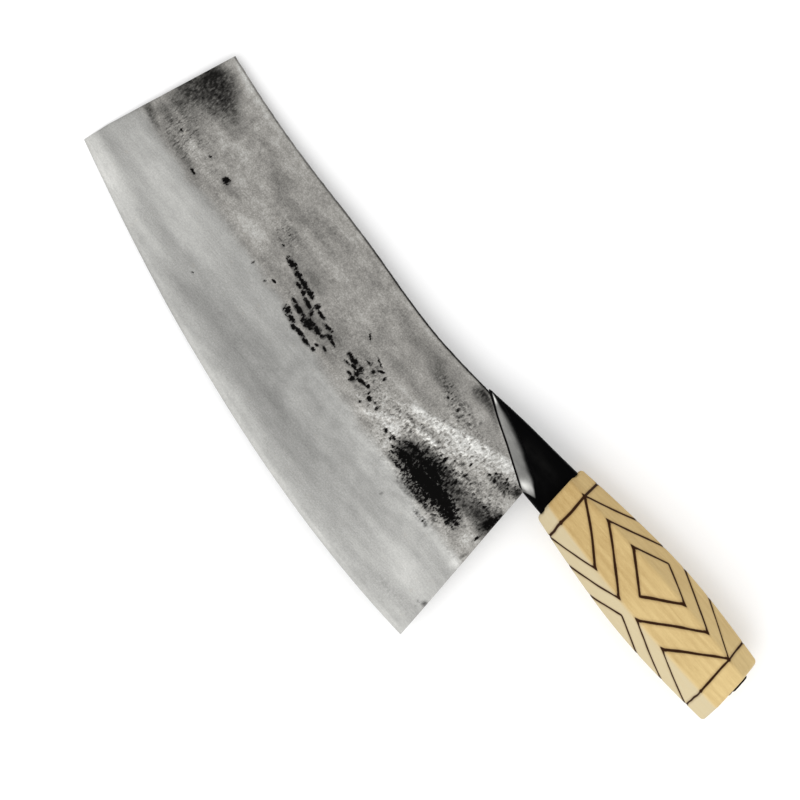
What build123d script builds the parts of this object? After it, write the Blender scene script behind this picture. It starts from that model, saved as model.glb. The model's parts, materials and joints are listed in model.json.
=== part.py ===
from build123d import *
from math import radians, tan
import os

# A hand-forged cleaver: a thin blade with a hard steel edge, a black neck welded to both of its faces,
# and a hexagonal wooden handle on a through tang whose tip is bent over on the butt.
#
# It is drawn in the knife's own axes, in millimetres: X from the toe of the blade to the butt, along
# the handle's axis; Y from the cutting edge to the spine; Z out of the blade's left face. The handle's
# axis meets its front end at the origin. The last step lays the knife down on its right side.

# Blade outline
TOE_SPINE = (-218.1, 15.0)
TOE_EDGE_X = -232.6
HEEL_EDGE_X = 1.9
HEEL_NECK = (-9.3, -11.1)
EDGE_CURVE = (-85.2, 0.0484, 1.037e-3, 0.975e-6)
SPINE_POINTS = [(-195.0, 11.8), (-165.0, 9.1), (-125.0, 7.0), (-80.0, 3.7)]
TONGUE_FRONT = (-50.0, 5.0)
TONGUE_REAR_X = -12.0

# Blade thickness: an even plate under the neck, thinning to the toe, then a long ground wedge
HEEL_THICK = 4.0
TOE_THICK = 2.4
BEVEL_WIDTH = 2.0
BEVEL_THICK = 0.5
WEDGE_SLOPE = 0.04

# Edge steel, let into the plate along the cutting edge
STEEL_THICK = 1.2
STEEL_HEIGHT = 20.0

# Neck
NECK_TOP = [(-49.6, 5.75), (-30.0, 8.15), (-12.0, 9.65)]
NECK_REAR_TOP_Y = 10.6
NECK_BOTTOM_Y = -11.1
NECK_FRONT_THICK = 4.8
NECK_REAR_THICK = 13.6
NECK_EDGE_RADIUS = 1.8

# Weld fillet: the seam on the blade's face, and the line where the fillet meets the neck's wall
SEAM_FRONT = (-48.2, 5.0)
SEAM_REAR = (-10.4, -11.1)
WALL_FRONT = (-46.4, 5.4)
WALL_REAR = (-4.8, -7.7)
FILLET_FRONT_HEIGHT = 0.5
FILLET_REAR_HEIGHT = 4.0

# Handle: a hexagonal barrel with one flat parallel to each face of the blade, given as
# (x, distance from the axis to a ridge before the ridges are rounded)
HANDLE_LENGTH = 104.4
END_RAKE = 7.0
BARREL = [(-4.0, 12.6), (10.0, 14.5), (30.0, 16.8), (57.0, 18.55), (80.0, 18.0), (110.0, 15.6)]
RIDGE_RADIUS = 2.0
END_RADIUS = 1.6

# Tang: a tapering bar whose thin tip lies along the butt, towards the spine
TANG_ROOT_X = -8.0
TANG_ROOT_DEPTH = 7.0
TANG_BUTT_DEPTH = 4.0
TANG_WIDTH = 5.0
TIP_REACH = 8.6
TIP_THICK = 1.7
TIP_END_THICK = 1.2

# How the knife lies on a level table, on its toe and the handle's lower ridge, in degrees
REST_PITCH = -2.89
REST_ROLL = 1.80

# Further than any piece reaches, for cutting tools
BIG = 500.0


def edge_y(x):
    """Height of the cutting edge at x: a shallow convex curve."""
    c0, c1, c2, c3 = EDGE_CURVE
    return c0 + c1 * x + c2 * x**2 + c3 * x**3


def edge_curve(first_x, last_x, rise=0.0):
    """The cutting edge, or a line `rise` above it, between two values of x."""
    steps = 8
    xs = [first_x + (last_x - first_x) * i / steps for i in range(steps + 1)]
    return Spline(*[(x, edge_y(x) + rise) for x in xs])


def end_x(y):
    """Where the handle's raked front face lies at height y."""
    return -tan(radians(END_RAKE)) * y


def cross_plane(x):
    """The plane across the handle's axis at x, with its own X along the knife's Y."""
    return Plane(origin=(x, 0, 0), x_dir=(0, 1, 0), z_dir=(1, 0, 0))


def slab(profile):
    """A slab, even on both sides of the blade's plane, from (x, half thickness) points."""
    mirrored = [(x, -half) for x, half in reversed(profile)]
    return extrude(Plane.XZ * Polygon(*profile, *mirrored, align=None), BIG, both=True)


def blade_outline():
    """The whole plate in side view, with the tongue that the neck hides."""
    edge = edge_curve(TOE_EDGE_X, HEEL_EDGE_X)
    heel = Polyline(edge @ 1, HEEL_NECK, (TONGUE_REAR_X, TONGUE_FRONT[1]), TONGUE_FRONT)
    spine = Spline(TOE_SPINE, *SPINE_POINTS, TONGUE_FRONT)
    toe = Line(edge @ 0, TOE_SPINE)
    return make_face([edge, heel, spine, toe])


def forged_thickness():
    """The plate's two flat faces: parallel under the neck, then closing towards the toe."""
    neck_front = TONGUE_FRONT[0]
    past_toe = TOE_EDGE_X - 10
    taper = (HEEL_THICK - TOE_THICK) / (neck_front - TOE_EDGE_X)
    past_toe_thick = HEEL_THICK - taper * (neck_front - past_toe)
    return slab([(past_toe, past_toe_thick / 2), (neck_front, HEEL_THICK / 2), (20, HEEL_THICK / 2)])


def ground_wedge():
    """The wedge ground on both faces: the sharpened bevel, then a straight slope past the spine."""
    rise = 120.0
    bevel = BEVEL_THICK / 2
    top = bevel + WEDGE_SLOPE * (rise - BEVEL_WIDTH)
    sections = []
    for x in range(-246, 21, 38):
        y = edge_y(x)
        left = [(y + BEVEL_WIDTH, bevel), (y + rise, top)]
        right = [(v, -z) for v, z in reversed(left)]
        sections.append(cross_plane(x) * Polygon((y, 0), *left, *right, align=None))
    return loft(sections)


def whole_blade():
    return extrude(blade_outline(), BIG, both=True) & forged_thickness() & ground_wedge()


def steel_core():
    """The slot for the hard steel, in the middle of the plate and open along the cutting edge."""
    low = edge_curve(-246, 20, -5.0)
    high = edge_curve(-246, 20, STEEL_HEIGHT)
    ends = [Line(low @ 0, high @ 0), Line(low @ 1, high @ 1)]
    return extrude(make_face([low, high, *ends]), STEEL_THICK / 2, both=True)


def neck_block():
    """The neck before it is cut back: it grows in depth and thickness towards the handle."""
    top = Spline(*NECK_TOP, (end_x(NECK_REAR_TOP_Y), NECK_REAR_TOP_Y))
    front_x = NECK_TOP[0][0]
    rear = (end_x(NECK_BOTTOM_Y), NECK_BOTTOM_Y)
    rest = Polyline(top @ 1, rear, (front_x, NECK_BOTTOM_Y), top @ 0)
    side = extrude(make_face([top, rest]), BIG, both=True)
    slope = (NECK_REAR_THICK - NECK_FRONT_THICK) / 2 / -front_x
    front_half = NECK_FRONT_THICK / 2
    reach = 60
    block = side & slab([(front_x - 1, front_half - slope), (front_x + reach, front_half + reach * slope)])
    long_edges = [edge for edge in block.edges() if edge.length > 30]
    return fillet(long_edges, NECK_EDGE_RADIUS)


def under_seam():
    """The space below the weld seam, where the blade is free of the neck."""
    low = NECK_BOTTOM_Y - 5
    front_x = NECK_TOP[0][0] - 5
    corners = [SEAM_REAR, (SEAM_REAR[0], low), (front_x, low), (front_x, TONGUE_FRONT[1] + 0.6), SEAM_FRONT]
    return extrude(Polygon(*corners, align=None), BIG, both=True)


def weld_room():
    """The corner between the neck's wall and the blade, on both faces, that the welds fill."""
    corner = Polygon(SEAM_FRONT, WALL_FRONT, WALL_REAR, SEAM_REAR, align=None)
    left = Pos(0, 0, HEEL_THICK / 2) * extrude(corner, NECK_REAR_THICK)
    return left + mirror(left, Plane.XY)


def weld_section(seam, wall, height):
    """One cross-section of the left weld fillet, ground hollow."""
    foot = Vector(*seam, HEEL_THICK / 2)
    across = Vector(*wall, HEEL_THICK / 2) - foot
    plane = Plane(origin=foot, x_dir=across, z_dir=across.cross(Vector(0, 0, 1)))
    hollow = TangentArc((0, 0), (across.length, height), tangent=(1, 0.05))
    legs = Polyline((across.length, height), (across.length, 0), (0, 0))
    return plane * make_face([hollow, legs])


def weld_fillet():
    """The left fillet, growing towards the heel with the neck's thickness."""
    front = weld_section(SEAM_FRONT, WALL_FRONT, FILLET_FRONT_HEIGHT)
    rear = weld_section(SEAM_REAR, WALL_REAR, FILLET_REAR_HEIGHT)
    return loft([front, rear], ruled=True)


def tang():
    """A bar from its root in the neck, through the handle, to the tip bent over on the butt."""
    root = TANG_ROOT_DEPTH / 2
    butt = TANG_BUTT_DEPTH / 2
    last_x = HANDLE_LENGTH + TIP_THICK / 4
    bar = Polygon((TANG_ROOT_X, -root), (last_x, -butt), (last_x, butt), (TANG_ROOT_X, root), align=None)
    bend = (TIP_THICK, -butt)
    tip = Polygon((0, -butt), bend, (TIP_THICK, butt), (TIP_END_THICK, TIP_REACH), (0, TIP_REACH), align=None)
    tip = fillet(tip.vertices().sort_by_distance((*bend, 0))[0], TIP_THICK * 0.8)
    side = bar + Pos(HANDLE_LENGTH, 0) * Rot(0, 0, END_RAKE) * tip
    return extrude(side, TANG_WIDTH / 2, both=True)


def barrel():
    """The handle's outer shape, before its bore: rounded hexagons between two raked ends."""
    sections = []
    for x, ridge in BARREL:
        hexagon = RegularPolygon(ridge, 6)
        sections.append(cross_plane(x) * fillet(hexagon.vertices(), RIDGE_RADIUS))
    deep = 40
    front = [(end_x(deep), deep), (end_x(-deep), -deep)]
    butt = [(x + HANDLE_LENGTH, y) for x, y in reversed(front)]
    body = loft(sections) & extrude(Polygon(*front, *butt, align=None), deep, both=True)
    faces = body.faces().sort_by(Axis.X)
    return fillet(faces[0].edges() + faces[-1].edges(), END_RADIUS)


def build():
    """Every piece, in the knife's own axes."""
    plate = whole_blade()
    core = steel_core()
    bar = tang()
    left_weld = weld_fillet()
    return {
        "blade": plate - core,
        "edge_steel": plate & core,
        "neck": neck_block() - under_seam() - plate - weld_room() - bar,
        "weld_fillet_left": left_weld,
        "weld_fillet_right": mirror(left_weld, Plane.XY),
        "tang": bar,
        "handle": barrel() - bar,
    }


def lay_down(pieces):
    """Turns the knife onto its right side, with the middle of its footprint at the origin."""
    turn = Rot(REST_ROLL, 0, 0) * Rot(0, REST_PITCH, 0)
    turned = {name: turn * piece for name, piece in pieces.items()}
    solids = [solid for piece in turned.values() for solid in piece.solids()]
    box = Compound(solids).bounding_box()
    middle = box.center()
    move = Pos(-middle.X, -middle.Y, -box.min.Z)
    return {name: move * piece for name, piece in turned.items()}


if __name__ == "__main__":
    os.makedirs("parts", exist_ok=True)
    for name, piece in lay_down(build()).items():
        export_step(piece, f"parts/{name}.step")
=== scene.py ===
import json
import math

import bpy
import numpy as np
from mathutils import Matrix, Vector


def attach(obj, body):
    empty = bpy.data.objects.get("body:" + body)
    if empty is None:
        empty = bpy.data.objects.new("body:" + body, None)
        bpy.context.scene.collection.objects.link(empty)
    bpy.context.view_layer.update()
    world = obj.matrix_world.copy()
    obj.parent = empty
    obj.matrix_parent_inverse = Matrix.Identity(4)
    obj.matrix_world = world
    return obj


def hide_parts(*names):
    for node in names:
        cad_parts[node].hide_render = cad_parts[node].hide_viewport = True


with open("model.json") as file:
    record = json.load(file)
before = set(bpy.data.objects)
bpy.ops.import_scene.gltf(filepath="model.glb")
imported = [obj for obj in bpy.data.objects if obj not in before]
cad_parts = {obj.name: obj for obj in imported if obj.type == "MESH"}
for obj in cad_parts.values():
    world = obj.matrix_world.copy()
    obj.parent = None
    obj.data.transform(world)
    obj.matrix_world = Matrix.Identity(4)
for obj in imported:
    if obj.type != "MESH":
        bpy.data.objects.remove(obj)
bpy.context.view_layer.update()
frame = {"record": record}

# Everything is drawn in the knife's own axes, in millimetres, as in the CAD source: X from the toe to
# the butt, Y from the cutting edge to the spine, Z out of the left face, with the origin where the
# handle's axis meets its front end. `to_row` then lays it on the table, in metres.

# ---- Sizes shared with the CAD source ----

TOE_SPINE = (-218.1, 15.0)
TOE_EDGE_X = -232.6
HEEL_EDGE_X = 1.9
TONGUE_FRONT = (-50.0, 5.0)
TONGUE_REAR_X = -12.0
EDGE_CURVE = (-85.2, 0.0484, 1.037e-3, 0.975e-6)
SPINE_POINTS = [(-195.0, 11.8), (-165.0, 9.1), (-125.0, 7.0), (-80.0, 3.7)]
HEEL_THICK = 4.0
TOE_THICK = 2.4
BEVEL_WIDTH = 2.0
BEVEL_THICK = 0.5
WEDGE_SLOPE = 0.04
STEEL_THICK = 1.2

NECK_TOP = [(-49.6, 5.75), (-30.0, 8.15), (-12.0, 9.65), (-1.3, 10.6)]
NECK_BOTTOM_Y = -11.1
NECK_FRONT_THICK = 4.8
NECK_REAR_THICK = 13.6
NECK_EDGE_RADIUS = 1.8

HANDLE_LENGTH = 104.4
END_RAKE = math.radians(7.0)
END_LEAN = math.tan(END_RAKE)
BARREL = [(-4.0, 12.6), (10.0, 14.5), (30.0, 16.8), (57.0, 18.55), (80.0, 18.0), (110.0, 15.6)]
END_RADIUS = 1.6

TANG_ROOT_X = -8.0
TANG_WIDTH = 5.0
TANG_BUTT_DEPTH = 4.0
TIP_REACH = 8.6
TIP_END_THICK = 1.2

# How deep the tang is where it enters the handle
TANG_FRONT_DEPTH = 6.8

# Where the ground wedge is as thick as the edge steel, so that the steel shows below it
STEEL_SHOWS = BEVEL_WIDTH + (STEEL_THICK - BEVEL_THICK) / 2 / WEDGE_SLOPE


# ---- Placing: the knife's axes in the row's frame, read from the record's mounts ----

def knife_axes():
    mounts = {mount["name"]: mount for mount in frame["record"]["mounts"]}
    along = Vector(mounts["grip"]["axis"]).normalized()
    left = Vector(mounts["rack_face_left"]["axis"])
    right = Vector(mounts["rack_face_right"]["axis"])
    out = (left - right).normalized()
    up = out.cross(along).normalized()
    out = along.cross(up)
    origin = Vector(mounts["grip"]["pos_m"]) - along * HANDLE_LENGTH / 2000
    turn = Matrix((along, up, out)).transposed()
    return turn, origin


KNIFE_TURN, KNIFE_ORIGIN = knife_axes()
to_row = Matrix.Translation(KNIFE_ORIGIN) @ KNIFE_TURN.to_4x4() @ Matrix.Scale(0.001, 4)


# ---- Numbers: smooth steps, curves and seeded noise, all on numpy arrays ----

SHUFFLED = np.random.RandomState(20).permutation(256)


def smooth(low, high, value):
    t = np.clip((value - low) / (high - low), 0.0, 1.0)
    return t * t * (3 - 2 * t)


def mix(a, b, t):
    return a + (b - a) * t


def noise(x, y, seed=0):
    """Smooth gradient noise over the plane, about -1 to 1."""
    i, j = np.floor(x).astype(int), np.floor(y).astype(int)
    fx, fy = x - i, y - j
    u = fx**3 * (fx * (fx * 6 - 15) + 10)
    v = fy**3 * (fy * (fy * 6 - 15) + 10)

    def corner(di, dj):
        pick = SHUFFLED[(SHUFFLED[(i + di + seed * 31) & 255] + j + dj) & 255]
        angle = pick * (2 * math.pi / 256)
        return np.cos(angle) * (fx - di) + np.sin(angle) * (fy - dj)

    near = mix(corner(0, 0), corner(1, 0), u)
    far = mix(corner(0, 1), corner(1, 1), u)
    return 1.6 * mix(near, far, v)


def curve_through(points):
    """A smooth function y(x) through a few (x, y) points, as a cubic spline with free ends."""
    xs, ys = np.array(points, float).T
    gaps, slopes = np.diff(xs), np.diff(ys) / np.diff(xs)
    n = len(xs)
    system, right = np.eye(n), np.zeros(n)
    for i in range(1, n - 1):
        system[i, i - 1:i + 2] = gaps[i - 1], 2 * (gaps[i - 1] + gaps[i]), gaps[i]
        right[i] = 6 * (slopes[i] - slopes[i - 1])
    bend = np.linalg.solve(system, right)

    def value(x):
        x = np.asarray(x, float)
        k = np.clip(np.searchsorted(xs, x) - 1, 0, n - 2)
        h, a, b = gaps[k], xs[k + 1] - x, x - xs[k]
        curved = (bend[k] * a**3 + bend[k + 1] * b**3) / (6 * h)
        straight = (ys[k] / h - bend[k] * h / 6) * a + (ys[k + 1] / h - bend[k + 1] * h / 6) * b
        return curved + straight

    return value


def edge_y(x):
    c0, c1, c2, c3 = EDGE_CURVE
    return c0 + c1 * x + c2 * x**2 + c3 * x**3


spine_y = curve_through([TOE_SPINE, *SPINE_POINTS, TONGUE_FRONT])
neck_top_y = curve_through(NECK_TOP)
barrel_ridge = curve_through(BARREL)


# The weld's lower line on the blade, and the upper and lower lines on the neck where bare steel ends
seam_y = curve_through([(-49.6, 5.3), (-46.5, 4.05), (-40, 1.15), (-30, -2.85), (-20, -7.05),
                        (-10.4, -11.15), (0, -15.6)])
bare_top_y = curve_through([(-49.6, 5.8), (-46, 5.2), (-40, 3.6), (-30, 1.0), (-20, -2.5), (-15, -4.7),
                            (-10, -6.2), (-7, -7.4), (-4, -8.7), (0, -11.0)])
bare_low_y = curve_through([(-12, -11.3), (-10.4, -10.8), (-8, -9.7), (-4, -8.35), (0, -7.0)])


# ---- Meshes ----

def add_object(name, data):
    made = bpy.data.objects.new(name, data)
    bpy.context.scene.collection.objects.link(made)
    return made


def new_piece(name, points, faces, node, sharp, marks=None):
    """A mesh piece from points in knife millimetres, whose edges bent by more than `sharp` degrees stay
    crisp. `marks` are numbers that the materials read."""
    mesh = bpy.data.meshes.new(name)
    mesh.from_pydata(np.asarray(points).reshape(-1, 3).tolist(), [], faces)
    for mark, values in (marks or {}).items():
        layer = mesh.attributes.new(mark, "FLOAT", "POINT")
        layer.data.foreach_set("value", np.asarray(values, np.float32).ravel())
    mesh.transform(to_row)
    mesh.update()
    mesh.polygons.foreach_set("use_smooth", [True] * len(mesh.polygons))
    mesh.set_sharp_from_angle(angle=math.radians(sharp))
    piece = add_object(name, mesh)
    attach(piece, "root")
    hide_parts(node)


def grid_faces(rows, columns, close_rows=False, flip=False):
    """Quads over rings of points: each row is a closed ring, and the last row may join the first."""
    faces = []
    for r in range(rows if close_rows else rows - 1):
        for c in range(columns):
            a, b = r * columns + c, r * columns + (c + 1) % columns
            d, e = (a + columns) % (rows * columns), (b + columns) % (rows * columns)
            faces.append((a, d, e, b) if flip else (a, b, e, d))
    return faces


def ring_faces(rings, around, flip=False):
    """A closed skin over rings of points, each end shut by a ladder of quads across its ring."""
    faces = grid_faces(rings, around, flip=flip)
    for first, turned in ((0, flip), ((rings - 1) * around, not flip)):
        for j in range(around // 2 - 1):
            quad = (first + j, first + j + 1, first + around - 2 - j, first + around - 1 - j)
            faces.append(quad if turned else quad[::-1])
    return faces


def spread(count, start, end, gain):
    """`count` values from 0 to 1 that lie `gain` times closer together between start and end."""
    samples, blur = 4001, 0.05
    fine = np.linspace(0, 1, samples)
    inside = smooth(start - blur, start + blur, fine) * smooth(end + blur, end - blur, fine)
    density = 1 + (gain - 1) * inside
    total = np.cumsum(density) - density[0]
    return np.interp(np.linspace(0, 1, count), total / total[-1], fine)


# Where points lie on the way over the top, as shares of the thickness
ACROSS = (0.1, 0.35, 0.65, 0.9)


def both_faces(left, right):
    """One ring per column: up the left face, over the top, and down the right face."""
    top = [mix(left[:, -1], right[:, -1], share) for share in ACROSS]
    return np.concatenate([left, np.stack(top, 1), right[:, ::-1]], 1)


# ---- Blade: a forged plate with a ground wedge ----
# Its faces are dense grids, and every dent, pit and ridge is a height in millimetres added to them.

# The line where the forged face meets the ground wedge, as (x, y)
shoulder_y = curve_through([(-236, -28), (-185, -31), (-142, -34), (-107, -39), (-60, -44), (6, -49)])

# Black forge scale left in low spots of the left face: (x, y, half length, half height), and a tilt in
# degrees where there is one
SCALE_SPOTS = [
    # the long broken string
    (-139, -21.8, 3, 1.1, -8), (-134.5, -22.8, 1.8, 1), (-129.5, -23.6, 3, 1.2, -6),
    (-125.2, -24, 2.1, 1, -20), (-131, -25.2, 1.5, 0.7), (-127.6, -26, 1.3, 0.6, -25),
    (-119.6, -25.2, 1, 1.2), (-115.8, -26.2, 1.9, 0.7, -4), (-122.8, -27.4, 2.2, 0.9, -12),
    (-119.2, -28.8, 0.7, 1.2), (-110.2, -27.5, 2.1, 0.7, 5), (-107.2, -29.4, 1.6, 0.8, -10),
    (-104.3, -30.1, 1.2, 0.5, -12), (-109.2, -31.5, 1, 0.8),
    # the two rows below it
    (-127.4, -30.6, 1.5, 0.6), (-124, -31.6, 3, 1, -3), (-117, -32.4, 3, 1.6, 8), (-112.2, -31.6, 1, 1.3),
    (-114.6, -30.9, 1.5, 0.6), (-126.6, -35.3, 1.9, 1.4, -10), (-123, -36.3, 2, 1, -8),
    (-119.8, -37.8, 1.4, 0.9), (-116.2, -37.3, 2.6, 0.8), (-112.4, -37.9, 2.1, 0.8), (-108, -37.6, 1, 0.7),
    (-108.2, -35.4, 0.9, 0.5, 20), (-105, -34, 1.3, 0.5, -15),
    # the clusters before the heel
    (-96.6, -27.8, 1, 0.9), (-93.4, -28.2, 2.1, 1, 4), (-89, -28.4, 1.2, 1.1), (-91.6, -29.6, 1.5, 0.7),
    (-94.8, -30.6, 1.4, 0.5, 5), (-88.6, -30.9, 1.4, 0.9), (-88.4, -33.4, 0.9, 1.3, -30),
    (-91, -32.7, 1.1, 0.6), (-85.2, -31.2, 2.5, 0.7, 8), (-82.2, -30.5, 0.8, 0.8), (-79.9, -31.9, 0.5, 0.9),
    (-78, -33.4, 1, 1), (-75.2, -32.8, 0.5, 0.4), (-73, -33.4, 0.7, 0.9), (-79.6, -36.9, 0.5, 0.6),
    (-86.2, -20.7, 2.4, 0.3, -20), (-82.9, -22.7, 1.5, 0.5, 30), (-80, -23.4, 0.4, 0.9),
    (-89, -24.1, 1.4, 0.3), (-85, -25.2, 0.7, 0.7), (-96.6, -16.9, 1.5, 0.3, -40),
    # single pits towards the toe
    (-182.2, -20.2, 1.4, 1.2, 20), (-194.2, -27.9, 1.4, 0.5, -15), (-193.8, -18.8, 0.6, 0.5),
    (-150, -33.3, 0.4, 0.8), (-141.4, -34.6, 0.5, 0.5), (-139, -31.8, 0.8, 0.5), (-147.2, -19.6, 0.6, 0.4),
    (-209.5, -20.6, 0.7, 0.4), (-163, -54.5, 0.4, 0.3),
    # the large blotch and its ragged ends
    (-37.5, -38.2, 15.5, 4.4), (-40, -33.4, 8.5, 3.5), (-51.5, -37.2, 4, 1.6, 10), (-51, -32.4, 4, 0.8, 16),
    (-28, -37.4, 9, 3.6, -12), (-22, -38.8, 3, 2.6), (-64, -36.6, 1, 0.8), (-60, -36.1, 1.6, 0.6),
    (-20, -41, 1.6, 1.5),
    # small pits round it
    (-26.9, -49, 0.4, 0.6), (-39.6, -26.4, 0.6, 1.5), (-31.4, -19.6, 0.4, 0.9, 12),
    (-29.6, -23.8, 0.4, 1.2, -10), (-30.2, -28.6, 0.6, 1, 20),
    # the corner beside the neck, and the heel
    (-56.2, -8.1, 0.3, 0.4), (-57.8, -8.9, 0.5, 0.5), (-51.4, -9.2, 0.5, 1), (-22.4, -14.4, 0.4, 0.7),
    (-20, -16.8, 0.5, 0.6), (-23.4, -16.4, 0.5, 0.5), (-17.6, -12, 0.4, 0.8), (-8.4, -28.4, 1.4, 3.8, -8),
    (-7.6, -36.8, 0.4, 2, -8),
]

# The same for the hidden right face, which the maker forged with the same hammer
RIGHT_SPOTS = [
    (-150, -12, 3.4, 1, 6), (-143, -13.2, 2.2, 0.9), (-137, -12.6, 1.8, 1.1, -8),
    (-131, -14.8, 2.6, 0.7, 4), (-171, -24, 2, 1), (-165.5, -25.2, 2.8, 0.8, -6), (-160, -24.2, 1.2, 1.1),
    (-98, -32.6, 3.2, 1.2, 6), (-92, -33.2, 1.8, 0.8), (-86, -31.6, 2.2, 1, -10), (-79, -33, 1.2, 0.6),
    (-66, -17, 9, 2.8, 8), (-54, -15.4, 5, 2, -6), (-30, -34, 7, 3.4), (-22, -31.8, 3, 2.2),
    (-205, -6, 1, 0.8), (-118, -22, 0.8, 0.6), (-110, -8, 1.6, 0.4, 12),
]

# Soft patches: (x, y, half length, half height, strength), and the same tilt. Stains are dark; those by the
# spine next to the neck are painted shadow.
STAINS_AND_NECK_SHADOW = [
    (-216.5, 2.6, 8.5, 6.8, 0.99, -6), (-208, 2, 8.5, 5.8, 0.66, -20), (-200.5, -0.8, 6, 2.6, 0.42, -18),
    (-221, -8.5, 8.5, 6.5, 0.66), (-209, -6, 12, 6, 0.34), (-223, -25.6, 9, 1.9, 0.62, -16),
    (-218, -20.5, 8, 2.8, 0.46, -8), (-206, -26, 10, 3.2, 0.46, -8), (-206, -16.5, 9, 3.4, 0.36),
    (-218, -15, 6, 2.4, 0.42), (-196, -27, 7, 2.4, 0.28, -10), (-193, -17, 5, 4, 0.18),
    (-168, -4, 7, 4, 0.4), (-150, -17, 8, 4.5, 0.26, -4), (-131, -17.5, 11, 3.5, 0.36, -2),
    (-120, -29, 14, 6, 0.32, -8), (-98, -27.5, 18, 4.5, 0.24, -4), (-64, -5, 11, 4, 0.46, -8),
    (-74, -9, 14, 4, 0.16, -4), (-38, -29, 13, 2.8, 0.76), (-52, -33, 6, 2.6, 0.45, 12),
    (-58, -28, 6, 1.4, 0.24, 8), (-59.5, -25, 6.5, 0.9, 0.42, 14), (-22, -32, 11, 3.4, 0.6, -4),
    (-35, -43.8, 12, 1.8, 0.74, -3), (-42, -46.6, 7, 1.2, 0.3), (-9, -29.6, 4.8, 5.8, 0.94, -8),
    (-16, -27.2, 7, 1.5, 0.58, 4), (-19, -15.6, 6, 2.8, 0.58, 6), (-13, -13, 3, 2.6, 0.45),
    # (-50, 0.5) here, the first three on the next line and (-52, 1.2) further down are painted shadow
    # beside the neck
    (-50, 0.5, 6, 4, 0.26), (-20.5, -39.5, 4, 2.6, 0.7), (-8.5, -24, 2.5, 2, 0.5),
    (-44, 1.4, 6, 1.6, 0.6, -22), (-36, -1.9, 4, 1.1, 0.38, -22), (-49.5, 2.8, 4.2, 2.2, 0.6, -20),
    (-51, -35.6, 7, 4.4, 0.92, 8), (-180, -21, 9, 4, 0.32), (-183, -27, 9, 3, 0.26),
    (-15, -29.5, 3.5, 2.5, 0.5), (-54, -42.4, 3.5, 1.2, 0.5), (-42, -45.4, 5, 1.3, 0.36),
    (-31, -32, 4, 2.4, 0.6), (-24.4, -45.4, 1, 0.9, 0.85), (-46, -54.3, 0.7, 1, 0.6),
    (-28.6, -48.8, 5, 0.9, 0.38), (-5.8, -45.5, 0.8, 2.6, 0.6, -10), (-1.2, -69.8, 1.4, 1.5, 0.7),
    (-3.8, -71.2, 0.9, 0.8, 0.45), (-2.6, -73.2, 0.7, 0.6, 0.45), (-11, -12.2, 2.2, 1.6, 0.6),
    (-216, -3.5, 5, 5, 0.45), (-49.2, -11, 1, 0.7, 0.8), (-41.4, -6, 0.7, 0.8, 0.7),
    (-43.8, -9.4, 0.7, 1.2, 0.7), (-51.6, -6.9, 0.7, 0.9, 0.65), (-45.2, -25.2, 0.8, 1.2, 0.75),
    (-33.6, -21.6, 0.8, 1.1, 0.75), (-36.4, -23.4, 1.1, 0.7, 0.75), (-37.2, -20.2, 0.9, 0.7, 0.7),
    (-26.6, -30.6, 0.9, 1.1, 0.7), (-47.2, -29.4, 0.8, 1.2, 0.75, 15), (-59.8, -29.6, 0.7, 1.4, 0.62),
    (-57.6, -28.8, 0.7, 1.5, 0.62), (-64, -28.8, 0.9, 0.8, 0.62), (-24.8, -49.2, 0.7, 1.1, 0.75),
    (-30.8, -48.4, 0.7, 0.9, 0.65), (-52, 1.2, 3, 2, 0.45, -10), (-84, -4, 10, 4, 0.3),
    (-36, -5, 8, 3, 0.28, -20), (-16, -77, 14, 4, 0.27, 4), (-10.6, -12.7, 1.3, 2, 0.75, -8),
    (-16.6, -15.4, 5, 1.9, 0.34, 4), (-14.6, -30.6, 4, 1.4, 0.3), (-175, -27, 9, 4, 0.12),
    (-95, -76, 14, 4, 0.12), (-218, -42, 8, 4, 0.1),
]

RIGHT_STAINS = [
    (-60, -17, 16, 6, 0.55, 8), (-27, -33, 13, 6, 0.62), (-92, -32, 13, 4.5, 0.34, 4),
    (-145, -13, 15, 4.5, 0.34), (-204, -8, 17, 7, 0.5, -8), (-214, 5, 9, 6, 0.58, -6),
    (-168, -25, 12, 4, 0.3), (-9, -27, 5, 7, 0.66, -8), (-36, -2.5, 12, 4, 0.3, -20),
]
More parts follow.
